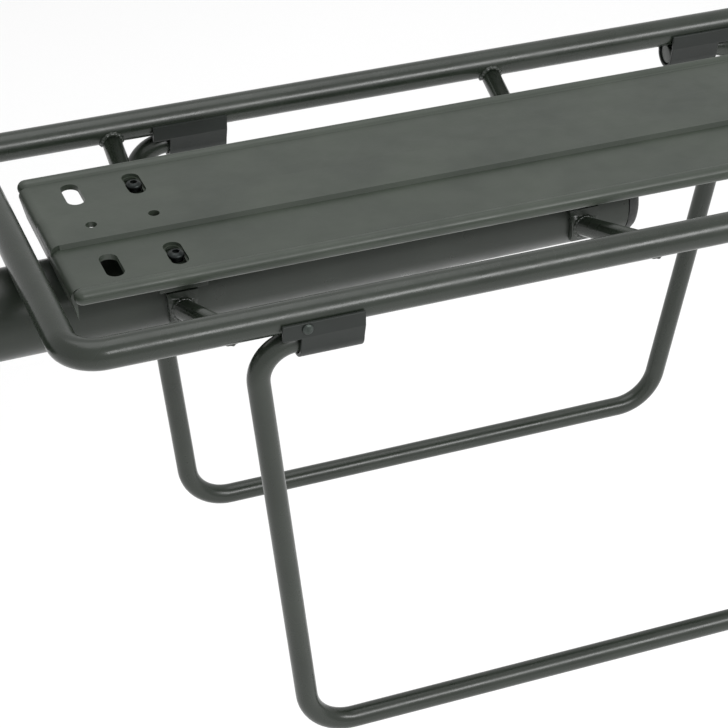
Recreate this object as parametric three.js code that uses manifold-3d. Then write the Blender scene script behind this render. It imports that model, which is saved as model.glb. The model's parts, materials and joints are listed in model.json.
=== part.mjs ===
// Seat-post bicycle luggage carrier with two folding pannier frames.
// Millimetres. +X points to the rear of the bicycle, +Y to its right, +Z up.
// The finished rack's origin is where the seat post's axis crosses the beam's axis. The pieces are drawn
// about another point: the front hinge corner, midway across, in the plane of the perimeter rod's axis.

import * as THREE from 'three';
import { mergeVertices } from 'three/addons/utils/BufferGeometryUtils.js';
import Module from 'manifold-3d';

const wasm = await Module();
wasm.setup();
const { Manifold, Mesh: SolidMesh } = wasm;

// ---------- driving dimensions ----------

const WELD_GAP = 0.3; // between pieces that touch, or that are cut to fit each other
const RUN_GAP = 0.3; // around pieces that turn or slide
const CUT_EXTRA = 4; // how far a cutter reaches past what it cuts

const RAIL_DIAMETER = 10; // perimeter rod
const RAIL_WIDTH = 140; // between the two side rails, centre to centre
const RAIL_FRONT_X = -57; // centre of the front bar
const RAIL_REAR_REACH = 57; // centre of the rear bar, beyond the frames' rear legs
const RAIL_BEND = 11; // bend radius at the rod's centre line

const FRAME_ROD = 7.5; // pannier frame rod diameter
const FRAME_TOP_LENGTH = 245; // between the two legs at the hinge line
const FRAME_FRONT_LEAN = 15.7; // how far the front leg runs back on its way down
const FRAME_REAR_LEAN = 31.3; // how far the rear leg runs forward on its way down
const FRAME_DEPTH = 159; // hinge line to the bottom rail
const FRAME_TOP_BEND = 12;
const FRAME_BOTTOM_BEND = 17;
const FRAME_END_INSET = 0.5; // the rod's end stops this far inside its bracket
const RAIL_REAR_X = FRAME_TOP_LENGTH + RAIL_REAR_REACH;

const BRACKET_OFFSET = 7.5; // from the leg's corner to the bracket
const BRACKET_LENGTH = 27;
const BRACKET_SHEET = 1.2;
const BRACKET_TOP_Z = 0.4; // top edge of the bracket's two sides
const RIVET_DIAMETER = 2.2;
const RIVET_HEAD = 3.6;
const RIVET_HEAD_HEIGHT = 0.8;
const RIVET_INSET = 8; // from the bracket's outer end
const RIVET_DROP = 1.6; // below the rail's axis
const RIVET_DEPTH = 2.4; // length of shank inside the rail

const BEAM_DIAMETER = 30;
const BEAM_WALL = 2.2;
const BEAM_TILT = 0.64; // degrees that the beam drops towards its front
const BEAM_CLEARANCE = 0.7; // from the side rails' underside down to the top of the beam's rear end
const BEAM_REAR_X = 154.8;
const CAP_FLANGE = 4.6; // thickness of the end cap's visible flange
const CAP_ROUND = 3.2;
const CAP_PLUG = 14; // length of the plug inside the tube

const STRUT_DIAMETER = 7;
const STRUT_FRONT_X = -7;
const STRUT_REAR_INSET = 18; // from the beam's rear end to the rear struts
const STRUT_BEAM_DROP = 4.5; // where a strut meets the beam, below its axis
const STRUT_RAIL_DROP = 1.5; // where a strut meets the rail, below its axis
const PAD_THICKNESS = 2; // the strut's foot, pressed flat against the beam
const PAD_TOP_WIDTH = 10.7;
const PAD_FOOT_WIDTH = 8;
const PAD_TOP_RISE = 5; // above the beam's axis
const PAD_FOOT_DROP = 8; // below the beam's axis

const DECK_END_GAP = 4.5; // between the deck's ends and the front and rear bars
const DECK_WIDTH = 80;
const DECK_SHEET = 2;
const DECK_TOP_Z = 2.2; // top of the flat side panels
const DECK_BAND_WIDTH = 18.4;
const DECK_BAND_RISE = 1.6;
const DECK_BAND_STEP = 0.5; // width of the slope at each side of the raised band
const DECK_BEAD = 5.4; // diameter of the rolled edge
const DECK_BEAD_RISE = 1.2; // top of the rolled edge above the flat panels
const DECK_LIP_DEPTH = 11.5; // how far the end lips turn down
const DECK_LIP_BEND = 3; // outer bend radius of the end lips

const SLOT_LENGTH = 14.5;
const SLOT_WIDTH = 6;
const SLOT_ACROSS = 49; // between the two slots of a column
const SLOT_COLUMN_PITCH = 21;
const SLOT_COLUMN_INSET = 16; // from the deck's end to the first column
const CENTRE_HOLE = 3.8;
const LEDGE_DEPTH = 1.1; // how deep the screws' slots are stepped
const SCREW_DIAMETER = 4;
const SCREW_HEAD = 5.5;
const SCREW_HEAD_HEIGHT = 1.5;
const SCREW_SOCKET = 2.6;
const SCREW_LENGTH = 7;

const SADDLE_LENGTH = 64;
const SADDLE_WIDTH = 16;
const STRAP_WIDTH = 18;
const STRAP_THICKNESS = 3;
const STRAP_STEP = 2.5; // width of the slope at each step
const STRAP_END_INSET = 3.5; // from a side rail's centre to the strap's end, before the rail is cut out

const POST_DIAMETER = 31.6; // the seat post that the clamp grips
const POST_ANGLE = 17; // degrees that the post leans back
const POST_X = -137; // where the post's axis crosses the beam's axis
const LINER_WALL = 1.5;
const CLAMP_WALL = 5.4;
const CLAMP_HEIGHT = 38;
const CLAMP_SPLIT = 2; // gap between body and jaw
const EAR_THICKNESS = 8;
const EAR_HEIGHT = 18;
const EAR_REACH = 17; // beyond the clamp's ring
const SOCKET_WALL = 3;
const SOCKET_LENGTH = 22;
const SOCKET_FLOOR = 4;
const KNUCKLE_DIAMETER = 11;
const KNUCKLE_HEIGHT = 13.4; // the jaw's own knuckle
const HINGE_PIN = 5;

const QR_BOLT = 5;
const QR_BOLT_TAIL = 3; // bolt beyond the adjusting nut
const QR_NUT = 15;
const QR_NUT_LENGTH = 7;
const QR_BARREL = 8;
const QR_CAM = 16; // cam diameter
const QR_THROW = 0.65; // cam centre from the barrel's axis
const QR_CAM_WIDTH = 15;
const QR_SLOT = 6.2; // slot in the cam for the bolt
const QR_ARM_WIDTH = 11;
const QR_ARM_THICKNESS = 5;
const QR_ARM_CLEARANCE = 3.5; // between the arm and the clamp's ring
const QR_ARM_TIP = 32; // degrees past the clamp's front

// ---------- positions that follow from them ----------

const RAIL_Y = RAIL_WIDTH / 2;
const HINGE_Z = -(RAIL_DIAMETER / 2 + RUN_GAP + 0.1 + FRAME_ROD / 2);
const BEAM_REAR_Z = -(RAIL_DIAMETER / 2 + BEAM_CLEARANCE + BEAM_DIAMETER / 2);
const BEAM_SLOPE = THREE.MathUtils.degToRad(BEAM_TILT);
const STRUT_XS = [STRUT_FRONT_X, BEAM_REAR_X - STRUT_REAR_INSET];
const DECK_BOTTOM_Z = DECK_TOP_Z - DECK_SHEET;
const DECK_FRONT_X = RAIL_FRONT_X + RAIL_DIAMETER / 2 + DECK_END_GAP;
const DECK_REAR_X = RAIL_REAR_X - RAIL_DIAMETER / 2 - DECK_END_GAP;
const FRONT_COLUMN_X = DECK_FRONT_X + SLOT_COLUMN_INSET;
const REAR_COLUMN_X = DECK_REAR_X - SLOT_COLUMN_INSET;
const SLOT_XS_FRONT = [FRONT_COLUMN_X, FRONT_COLUMN_X + SLOT_COLUMN_PITCH];
const SLOT_XS_REAR = [REAR_COLUMN_X, REAR_COLUMN_X - SLOT_COLUMN_PITCH];
const SCREW_XS = [SLOT_XS_FRONT[1], SLOT_XS_REAR[1]];
const RING_INNER = POST_DIAMETER / 2 + LINER_WALL + WELD_GAP;
const RING_OUTER = RING_INNER + CLAMP_WALL;
const EAR_Y = -(RING_OUTER + EAR_REACH / 2); // the quick-release bolt's place across the clamp
const EAR_OUTER_X = CLAMP_SPLIT / 2 + EAR_THICKNESS;
const KNUCKLE_Y = RING_OUTER + KNUCKLE_DIAMETER / 2 + WELD_GAP + 0.3;
const BARREL_X = -(EAR_OUTER_X + RUN_GAP + QR_CAM / 2 + QR_THROW);
const BEAM_FRONT_X = POST_X + RING_OUTER + SOCKET_FLOOR;
const BRACKET_RELIEF_Z = HINGE_Z + FRAME_ROD / 2 + RUN_GAP; // the wrap stops here beside the rod's bend

// ---------- materials ----------

function paint(color, roughness, metalness) {
  return new THREE.MeshStandardMaterial({ color, roughness, metalness });
}

const railPaint = paint(0x262a27, 0.42, 0.35);
const beamPaint = paint(0x242825, 0.45, 0.35);
const deckPaint = paint(0x2f332f, 0.5, 0.35);
const framePaint = paint(0x272b28, 0.42, 0.35);
const bracketPaint = paint(0x282c2c, 0.5, 0.35);
const castPaint = paint(0x222523, 0.55, 0.3);
const brightSteel = paint(0xa9aeb0, 0.32, 0.95);
const darkSteel = paint(0x3a3d3f, 0.4, 0.8);
const blackPlastic = paint(0x1f2120, 0.6, 0);
const greyRubber = paint(0x2a2b2b, 0.85, 0);

// ---------- solid modelling helpers ----------

function toSolid(geometry) {
  const plain = geometry.clone();
  plain.deleteAttribute('normal');
  plain.deleteAttribute('uv');
  const merged = mergeVertices(plain, 1e-4);
  return new Manifold(
    new SolidMesh({
      numProp: 3,
      vertProperties: new Float32Array(merged.attributes.position.array),
      triVerts: new Uint32Array(merged.index.array),
    }),
  );
}

function toGeometry(solid) {
  const mesh = solid.getMesh();
  const geometry = new THREE.BufferGeometry();
  geometry.setAttribute('position', new THREE.BufferAttribute(new Float32Array(mesh.vertProperties), 3));
  geometry.setIndex(new THREE.BufferAttribute(new Uint32Array(mesh.triVerts), 1));
  geometry.computeVertexNormals();
  return geometry;
}

// Joins the first shapes and cuts the second ones away.
function combine(added, cut = []) {
  let solid = toSolid(added[0]);
  for (const geometry of added.slice(1)) solid = solid.add(toSolid(geometry));
  for (const geometry of cut) solid = solid.subtract(toSolid(geometry));
  return toGeometry(solid);
}

function box(x0, x1, y0, y1, z0, z1) {
  const geometry = new THREE.BoxGeometry(x1 - x0, y1 - y0, z1 - z0);
  return geometry.translate((x0 + x1) / 2, (y0 + y1) / 2, (z0 + z1) / 2);
}

// A round bar or a round cutter between two points.
function bar(from, to, radius, sides = 32) {
  const axis = new THREE.Vector3().subVectors(to, from);
  const geometry = new THREE.CylinderGeometry(radius, radius, axis.length(), sides);
  const turn = new THREE.Quaternion().setFromUnitVectors(vec(0, 1, 0), axis.clone().normalize());
  geometry.applyQuaternion(turn);
  return geometry.translate((from.x + to.x) / 2, (from.y + to.y) / 2, (from.z + to.z) / 2);
}

function vec(x, y, z) {
  return new THREE.Vector3(x, y, z);
}

function outline(points) {
  return new THREE.Shape(points.map(([x, y]) => new THREE.Vector2(x, y)));
}

// Extrudes a profile drawn as (y, z) along X, from x0 to x1.
function alongX(shape, x0, x1, curveSegments = 12) {
  const geometry = new THREE.ExtrudeGeometry(shape, { depth: x1 - x0, bevelEnabled: false, curveSegments });
  geometry.applyMatrix4(new THREE.Matrix4().makeBasis(vec(0, 1, 0), vec(0, 0, 1), vec(1, 0, 0)));
  return geometry.translate(x0, 0, 0);
}

// Extrudes a profile drawn as (x, z) along Y, evenly about the middle.
function alongY(shape, width, curveSegments = 12) {
  const geometry = new THREE.ExtrudeGeometry(shape, { depth: width, bevelEnabled: false, curveSegments });
  geometry.applyMatrix4(new THREE.Matrix4().makeBasis(vec(1, 0, 0), vec(0, 0, 1), vec(0, -1, 0)));
  return geometry.translate(0, width / 2, 0);
}

// A line with round bends. It is sampled only where it starts, bends and ends.
class BentLine extends THREE.Curve {
  constructor(corners, bends, bendSegments) {
    super();
    this.points = [corners[0].clone()];
    this.tangents = [new THREE.Vector3().subVectors(corners[1], corners[0]).normalize()];
    for (let i = 1; i < corners.length - 1; i += 1) {
      this.addBend(corners[i - 1], corners[i], corners[i + 1], bends[i - 1], bendSegments);
    }
    const last = corners.length - 1;
    this.points.push(corners[last].clone());
    this.tangents.push(new THREE.Vector3().subVectors(corners[last], corners[last - 1]).normalize());
    this.steps = this.points.length - 1;
  }

  addBend(before, corner, after, radius, segments) {
    const inward = new THREE.Vector3().subVectors(corner, before).normalize();
    const outward = new THREE.Vector3().subVectors(after, corner).normalize();
    const angle = inward.angleTo(outward);
    const axis = new THREE.Vector3().crossVectors(inward, outward).normalize();
    const toCentre = new THREE.Vector3().crossVectors(axis, inward).multiplyScalar(radius);
    const start = corner.clone().addScaledVector(inward, -radius * Math.tan(angle / 2));
    const centre = start.clone().add(toCentre);
    for (let i = 0; i <= segments; i += 1) {
      const turn = (angle * i) / segments;
      this.points.push(toCentre.clone().negate().applyAxisAngle(axis, turn).add(centre));
      this.tangents.push(inward.clone().applyAxisAngle(axis, turn));
    }
  }

  getPoint(t) {
    const place = Math.min(t * this.steps, this.steps - 1e-9);
    const i = Math.floor(place);
    return new THREE.Vector3().lerpVectors(this.points[i], this.points[i + 1], place - i);
  }

  getPointAt(t) {
    return this.points[Math.round(t * this.steps)].clone();
  }

  getTangentAt(t) {
    return this.tangents[Math.round(t * this.steps)].clone();
  }
}

function bentRod(corners, bends, diameter, bendSegments = 7, sides = 20) {
  const section = new THREE.Shape();
  section.absarc(0, 0, diameter / 2, 0, Math.PI * 2, false);
  const path = new BentLine(corners, bends, bendSegments);
  return new THREE.ExtrudeGeometry(section, {
    steps: path.steps,
    curveSegments: sides / 2, // an arc takes two steps for each curve segment
    extrudePath: path,
    bevelEnabled: false,
  });
}

function piece(name, geometry, material, position = vec(0, 0, 0)) {
  const mesh = new THREE.Mesh(geometry, material.clone());
  mesh.name = name;
  mesh.position.copy(position);
  return mesh;
}

// ---------- perimeter and beam ----------

// The hinge brackets: which end of the frame, and which way its rod end points.
const CORNERS = [
  { end: 'front', x: 0, towards: 1, lean: FRAME_FRONT_LEAN },
  { end: 'rear', x: FRAME_TOP_LENGTH, towards: -1, lean: FRAME_REAR_LEAN },
];
const SIDES = [
  { side: 'left', sign: -1 },
  { side: 'right', sign: 1 },
];

function rivetX(corner) {
  return corner.x + corner.towards * (BRACKET_OFFSET + RIVET_INSET);
}

// One rod bent into a rectangle, made of two halves that join in the middle of the side rails.
function perimeterLoop() {
  const middle = (RAIL_FRONT_X + RAIL_REAR_X) / 2;
  const halves = [RAIL_FRONT_X, RAIL_REAR_X].map((endX) => {
    const joint = middle - Math.sign(endX - middle) * 1;
    const corners = [
      vec(joint, -RAIL_Y, 0),
      vec(endX, -RAIL_Y, 0),
      vec(endX, RAIL_Y, 0),
      vec(joint, RAIL_Y, 0),
    ];
    return bentRod(corners, [RAIL_BEND, RAIL_BEND], RAIL_DIAMETER, 7, 22);
  });
  const holes = [];
  for (const { sign } of SIDES) {
    for (const corner of CORNERS) {
      const inner = RAIL_Y + RAIL_DIAMETER / 2 - RIVET_DEPTH - WELD_GAP;
      const outer = RAIL_Y + RAIL_DIAMETER / 2 + CUT_EXTRA;
      const from = vec(rivetX(corner), sign * inner, -RIVET_DROP);
      const to = vec(rivetX(corner), sign * outer, -RIVET_DROP);
      holes.push(bar(from, to, RIVET_DIAMETER / 2 + WELD_GAP, 16));
    }
  }
  return combine(halves, holes);
}

// The point of the beam's axis that lies at x.
function beamAt(x) {
  return vec(x, 0, BEAM_REAR_Z - (BEAM_REAR_X - x) * Math.tan(BEAM_SLOPE));
}

function alongBeam(x0, x1, radius) {
  return bar(beamAt(x0), beamAt(x1), radius, 56);
}

// Room around the beam for a piece that lies against it.
function beamRoom(x0, x1) {
  return alongBeam(x0, x1, BEAM_DIAMETER / 2 + WELD_GAP);
}

function beamTube() {
  const outer = alongBeam(BEAM_FRONT_X + WELD_GAP, BEAM_REAR_X, BEAM_DIAMETER / 2);
  const inside = BEAM_DIAMETER / 2 - BEAM_WALL;
  return combine([outer], [alongBeam(BEAM_FRONT_X - CUT_EXTRA, BEAM_REAR_X + CUT_EXTRA, inside)]);
}

// A hollow plug with a round-edged flange, turned about the beam's axis.
function beamEndCap() {
  const flange = BEAM_DIAMETER / 2;
  const plug = BEAM_DIAMETER / 2 - BEAM_WALL - WELD_GAP;
  const bore = plug - 2;
  const profile = [
    [0, CAP_FLANGE],
    [flange - CAP_ROUND, CAP_FLANGE],
  ];
  for (let i = 1; i <= 4; i += 1) {
    const angle = (Math.PI / 2) * (1 - i / 4);
    const radius = flange - CAP_ROUND + CAP_ROUND * Math.cos(angle);
    profile.push([radius, CAP_FLANGE - CAP_ROUND + CAP_ROUND * Math.sin(angle)]);
  }
  profile.push([flange, 0], [plug, 0], [plug, -CAP_PLUG], [bore, -CAP_PLUG], [bore, 2], [0, 2]);
  const points = profile.reverse().map(([r, h]) => new THREE.Vector2(r, h));
  const geometry = new THREE.LatheGeometry(points, 40);
  geometry.rotateZ(-Math.PI / 2);
  geometry.rotateY(-BEAM_SLOPE);
  return combine([geometry]);
}

// A round strut from the beam's flank up to the inside of a side rail. Its foot is pressed into a wider pad
// that follows the beam's flank.
function strut(x, sign) {
  const beamZ = beamAt(x).z;
  const beamPoint = vec(x, sign * (BEAM_DIAMETER / 2 - 5), beamZ - STRUT_BEAM_DROP);
  const railPoint = vec(x, sign * RAIL_Y, -STRUT_RAIL_DROP);
  const rod = bar(beamPoint, railPoint, STRUT_DIAMETER / 2, 20);
  const reach = STRUT_DIAMETER * 1.5;
  const railFrom = vec(x - reach, sign * RAIL_Y, 0);
  const railTo = vec(x + reach, sign * RAIL_Y, 0);
  const railRoom = bar(railFrom, railTo, RAIL_DIAMETER / 2 + WELD_GAP, 36);
  return combine([rod, strutPad(x, sign)], [beamRoom(x - reach, x + reach), railRoom]);
}

// The pad lies on the beam like a piece of a larger tube. It narrows from its top to its foot.
function strutPad(x, sign) {
  const axis = beamAt(x);
  const outer = BEAM_DIAMETER / 2 + WELD_GAP + PAD_THICKNESS;
  const shell = alongBeam(x - PAD_TOP_WIDTH, x + PAD_TOP_WIDTH, outer);
  const top = axis.z + PAD_TOP_RISE;
  const foot = axis.z - PAD_FOOT_DROP;
  const half = PAD_TOP_WIDTH / 2;
  const footHalf = PAD_FOOT_WIDTH / 2;
  const face = outline([[x - footHalf, foot], [x + footHalf, foot], [x + half, top], [x - half, top]]);
  const near = outer / 2;
  const far = outer + CUT_EXTRA;
  const blank = alongY(face, far - near).translate(0, (sign * (near + far)) / 2, 0);
  return toGeometry(toSolid(shell).intersect(toSolid(blank)));
}

// ---------- deck ----------

// The deck's section, drawn as (y, z): flat panels, a raised band along the middle and rolled edges.
function deckSection() {
  const bead = DECK_BEAD / 2;
  const beadY = DECK_WIDTH / 2 - bead;
  const beadZ = DECK_TOP_Z + DECK_BEAD_RISE - bead;
  const band = DECK_BAND_WIDTH / 2;
  const foot = band + DECK_BAND_STEP;
  const bandTop = DECK_TOP_Z + DECK_BAND_RISE;
  const bandBottom = bandTop - DECK_SHEET;
  const topAngle = Math.asin((DECK_TOP_Z - beadZ) / bead);
  const bottomAngle = Math.asin((DECK_BOTTOM_Z - beadZ) / bead);
  const section = new THREE.Shape();
  section.moveTo(-foot + DECK_SHEET, DECK_BOTTOM_Z);
  section.lineTo(-band + DECK_SHEET, bandBottom);
  section.lineTo(band - DECK_SHEET, bandBottom);
  section.lineTo(foot - DECK_SHEET, DECK_BOTTOM_Z);
  section.lineTo(beadY - bead * Math.cos(bottomAngle), DECK_BOTTOM_Z);
  section.absarc(beadY, beadZ, bead, Math.PI - bottomAngle, Math.PI - topAngle + Math.PI * 2, false);
  section.lineTo(foot, DECK_TOP_Z);
  section.lineTo(band, bandTop);
  section.lineTo(-band, bandTop);
  section.lineTo(-foot, DECK_TOP_Z);
  section.lineTo(-beadY + bead * Math.cos(topAngle), DECK_TOP_Z);
  section.absarc(-beadY, beadZ, bead, topAngle, bottomAngle + Math.PI * 2, false);
  return section;
}

// The sheet at a deck's end, turned down with a round bend, drawn as (x, z) about the end.
function lipSection(topZ, direction) {
  const inner = DECK_LIP_BEND - DECK_SHEET;
  const section = new THREE.Shape();
  const centreZ = topZ - DECK_LIP_BEND;
  const centreX = direction * DECK_LIP_BEND;
  const lowZ = DECK_TOP_Z - DECK_LIP_DEPTH;
  const top = Math.PI / 2;
  const side = direction > 0 ? Math.PI : 0;
  const clockwise = direction < 0;
  section.moveTo(0, lowZ);
  section.absarc(centreX, centreZ, DECK_LIP_BEND, side, top, !clockwise);
  section.lineTo(centreX + direction * 2, topZ);
  section.lineTo(centreX + direction * 2, topZ - DECK_SHEET);
  section.absarc(centreX, centreZ, inner, top, side, clockwise);
  section.lineTo(direction * DECK_SHEET, lowZ);
  return section;
}

// A vertical cutter with round ends, long across the deck.
function slotCutter(x, y, length, width, z0, z1) {
  const half = (length - width) / 2;
  const shape = new THREE.Shape();
  shape.absarc(0, half, width / 2, 0, Math.PI, false);
  shape.absarc(0, -half, width / 2, Math.PI, Math.PI * 2, false);
  const settings = { depth: z1 - z0, bevelEnabled: false, curveSegments: 5 };
  return new THREE.ExtrudeGeometry(shape, settings).translate(x, y, z0);
}

function deckPlate() {
  const bead = DECK_BEAD / 2;
  const lipWidth = DECK_WIDTH - DECK_BEAD * 2;
  const parts = [
    alongX(deckSection(), DECK_FRONT_X + DECK_LIP_BEND, DECK_REAR_X - DECK_LIP_BEND, 8),
    alongY(lipSection(DECK_TOP_Z, 1), lipWidth, 5).translate(DECK_FRONT_X, 0, 0),
    alongY(lipSection(DECK_TOP_Z, -1), lipWidth, 5).translate(DECK_REAR_X, 0, 0),
    alongY(lipSection(DECK_TOP_Z + DECK_BAND_RISE, 1), DECK_BAND_WIDTH, 5).translate(DECK_FRONT_X, 0, 0),
    alongY(lipSection(DECK_TOP_Z + DECK_BAND_RISE, -1), DECK_BAND_WIDTH, 5).translate(DECK_REAR_X, 0, 0),
  ];
  for (const x of [DECK_FRONT_X + DECK_LIP_BEND, DECK_REAR_X - DECK_LIP_BEND]) {
    for (const { sign } of SIDES) {
      const ball = new THREE.SphereGeometry(bead * 0.999, 16, 10);
      parts.push(ball.translate(x, sign * (DECK_WIDTH / 2 - bead), DECK_TOP_Z + DECK_BEAD_RISE - bead));
    }
  }
  const low = DECK_BOTTOM_Z - CUT_EXTRA;
  const high = DECK_TOP_Z + DECK_BAND_RISE + CUT_EXTRA;
  const cuts = [beamRoom(DECK_FRONT_X - CUT_EXTRA, DECK_FRONT_X + SLOT_COLUMN_INSET)];
  for (const xs of [SLOT_XS_FRONT, SLOT_XS_REAR]) {
    for (const x of xs) cuts.push(bar(vec(x, 0, low), vec(x, 0, high), CENTRE_HOLE / 2, 20));
    for (const { sign } of SIDES) {
      const y = (sign * SLOT_ACROSS) / 2;
      const ledge = DECK_TOP_Z - LEDGE_DEPTH;
      const narrow = SCREW_DIAMETER + WELD_GAP * 2;
      cuts.push(slotCutter(xs[0], y, SLOT_LENGTH, SLOT_WIDTH, low, high));
      cuts.push(slotCutter(xs[1], y, SLOT_LENGTH, SLOT_WIDTH, ledge, high));
      cuts.push(slotCutter(xs[1], y, SLOT_LENGTH - SLOT_WIDTH + narrow, narrow, low, high));
    }
  }
  return combine(parts, cuts);
}

// The bar that the deck's front screws hold to, lying across the top of the beam.
function deckSaddle() {
  const x = SCREW_XS[0];
  const top = DECK_BOTTOM_Z - WELD_GAP;
  const along = SADDLE_WIDTH / 2;
  const bottom = beamAt(x + along).z + BEAM_DIAMETER / 2 + WELD_GAP;
  const across = SADDLE_LENGTH / 2;
  const body = box(x - along, x + along, -across, across, bottom, top);
  return combine([body], screwHoles(x, bottom - CUT_EXTRA, top + CUT_EXTRA));
}

// The bar between the side rails that the deck's rear screws hold to. It steps down under the rolled edges.
function rearCrossStrap() {
  const x = SCREW_XS[1];
  const high = DECK_BOTTOM_Z - WELD_GAP;
  const low = DECK_TOP_Z + DECK_BEAD_RISE - DECK_BEAD - WELD_GAP;
  const stepOut = DECK_WIDTH / 2 - DECK_BEAD - WELD_GAP;
  const stepIn = stepOut - STRAP_STEP;
  const end = RAIL_Y - STRAP_END_INSET;
  const top = [[-end, low], [-stepOut, low], [-stepIn, high], [stepIn, high], [stepOut, low], [end, low]];
  const bottom = top.map(([y, z]) => [y, z - STRAP_THICKNESS]).reverse();
  const body = alongX(outline([...bottom, ...top]), x - STRAP_WIDTH / 2, x + STRAP_WIDTH / 2);
  const rails = SIDES.map(({ sign }) => {
    const from = vec(x - STRAP_WIDTH, sign * RAIL_Y, 0);
    return bar(from, vec(x + STRAP_WIDTH, sign * RAIL_Y, 0), RAIL_DIAMETER / 2 + WELD_GAP, 36);
  });
  return combine([body], [...rails, ...screwHoles(x, low - STRAP_THICKNESS - CUT_EXTRA, high + CUT_EXTRA)]);
}

function screwHoles(x, z0, z1) {
  return SIDES.map(({ sign }) => {
    const y = (sign * SLOT_ACROSS) / 2;
    return bar(vec(x, y, z0), vec(x, y, z1), SCREW_DIAMETER / 2 + WELD_GAP, 20);
  });
}

// A low round-headed screw with a six-sided socket. Its head's underside lies at z = 0.
function deckScrew() {
  const head = SCREW_HEAD / 2;
  const profile = [
    [0, -SCREW_LENGTH],
    [SCREW_DIAMETER / 2, -SCREW_LENGTH],
    [SCREW_DIAMETER / 2, 0],
    [head, 0],
    [head, SCREW_HEAD_HEIGHT * 0.6],
    [head * 0.86, SCREW_HEAD_HEIGHT * 0.9],
    [head * 0.7, SCREW_HEAD_HEIGHT],
    [0, SCREW_HEAD_HEIGHT],
  ];
  const geometry = new THREE.LatheGeometry(profile.map(([r, h]) => new THREE.Vector2(r, h)), 20);
  geometry.rotateX(Math.PI / 2);
  const socket = bar(vec(0, 0, SCREW_HEAD_HEIGHT * 0.35), vec(0, 0, CUT_EXTRA), SCREW_SOCKET / 2, 6);
  return combine([geometry], [socket]);
}

// ---------- hinge brackets and pannier frames ----------

// A strap folded round the rail's lower half and the frame's rod, drawn as (y, z) about the rail's axis.
function bracketSection() {
  const innerHalf = RAIL_DIAMETER / 2 + WELD_GAP;
  const innerRound = FRAME_ROD / 2 + RUN_GAP;
  const outerHalf = innerHalf + BRACKET_SHEET;
  const outerRound = innerRound + BRACKET_SHEET;
  const shoulderZ = HINGE_Z / 2;
  const section = new THREE.Shape();
  section.moveTo(-outerHalf, BRACKET_TOP_Z);
  section.lineTo(-outerHalf, shoulderZ);
  section.absarc(0, HINGE_Z, outerRound, Math.PI, Math.PI * 2, false);
  section.lineTo(outerHalf, shoulderZ);
  section.lineTo(outerHalf, BRACKET_TOP_Z);
  section.lineTo(innerHalf, BRACKET_TOP_Z);
  section.lineTo(innerHalf, shoulderZ);
  section.absarc(0, HINGE_Z, innerRound, Math.PI * 2, Math.PI, true);
  section.lineTo(-innerHalf, shoulderZ);
  section.lineTo(-innerHalf, BRACKET_TOP_Z);
  return section;
}

// Lies along X from 0 to its length, with the rivet's hole on the side that sign names.
// Its wrap is cut back at the outer end, where the frame's rod bends down out of it.
function hingeBracket(corner, sign) {
  const body = alongX(bracketSection(), 0, BRACKET_LENGTH, 14);
  const holeX = corner.towards > 0 ? RIVET_INSET : BRACKET_LENGTH - RIVET_INSET;
  const from = vec(holeX, sign * (RAIL_DIAMETER / 2 - 1), -RIVET_DROP);
  const to = vec(holeX, sign * (RAIL_DIAMETER / 2 + CUT_EXTRA), -RIVET_DROP);
  const turn = Math.PI / 2 + Math.atan(corner.lean / FRAME_DEPTH);
  const bendStart = FRAME_TOP_BEND * Math.tan(turn / 2) + RUN_GAP - BRACKET_OFFSET;
  const relief = Math.max(bendStart, RUN_GAP);
  const x0 = corner.towards > 0 ? -CUT_EXTRA : BRACKET_LENGTH - relief;
  const x1 = corner.towards > 0 ? relief : BRACKET_LENGTH + CUT_EXTRA;
  const room = box(x0, x1, -RAIL_DIAMETER, RAIL_DIAMETER, HINGE_Z - RAIL_DIAMETER, BRACKET_RELIEF_Z);
  return combine([body], [room, bar(from, to, RIVET_DIAMETER / 2 + WELD_GAP, 16)]);
}

// A dome-headed rivet that points along Y. Its head's underside lies at y = 0.
function rivet(sign) {
  const shank = RIVET_DIAMETER / 2;
  const length = BRACKET_SHEET + WELD_GAP * 2 + RIVET_DEPTH;
  const profile = [
    [0, -length],
    [shank, -length],
    [shank, 0],
    [RIVET_HEAD / 2, 0],
  ];
  for (let i = 1; i <= 4; i += 1) {
    const angle = (Math.PI / 2) * (i / 4);
    profile.push([(RIVET_HEAD / 2) * Math.cos(angle), RIVET_HEAD_HEIGHT * Math.sin(angle)]);
  }
  profile[profile.length - 1][0] = 0;
  const geometry = new THREE.LatheGeometry(profile.map(([r, h]) => new THREE.Vector2(r, h)), 16);
  if (sign < 0) geometry.rotateZ(Math.PI);
  return combine([geometry]);
}

// One bent rod, drawn about its own hinge axis: both ends point inwards and turn in the brackets.
function pannierFrame() {
  const endReach = BRACKET_OFFSET + BRACKET_LENGTH - FRAME_END_INSET;
  const corners = [
    vec(endReach, 0, 0),
    vec(0, 0, 0),
    vec(FRAME_FRONT_LEAN, 0, -FRAME_DEPTH),
    vec(FRAME_TOP_LENGTH - FRAME_REAR_LEAN, 0, -FRAME_DEPTH),
    vec(FRAME_TOP_LENGTH, 0, 0),
    vec(FRAME_TOP_LENGTH - endReach, 0, 0),
  ];
  const bends = [FRAME_TOP_BEND, FRAME_BOTTOM_BEND, FRAME_BOTTOM_BEND, FRAME_TOP_BEND];
  return combine([bentRod(corners, bends, FRAME_ROD, 7, 20)]);
}

// ---------- seat-post clamp, drawn about the post's own axis ----------

const halfHeight = CLAMP_HEIGHT / 2;

function postBore(radius) {
  return bar(vec(0, 0, -halfHeight - CUT_EXTRA), vec(0, 0, halfHeight + CUT_EXTRA), radius, 56);
}

function ringBlank() {
  return bar(vec(0, 0, -halfHeight), vec(0, 0, halfHeight), RING_OUTER, 56);
}

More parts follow.
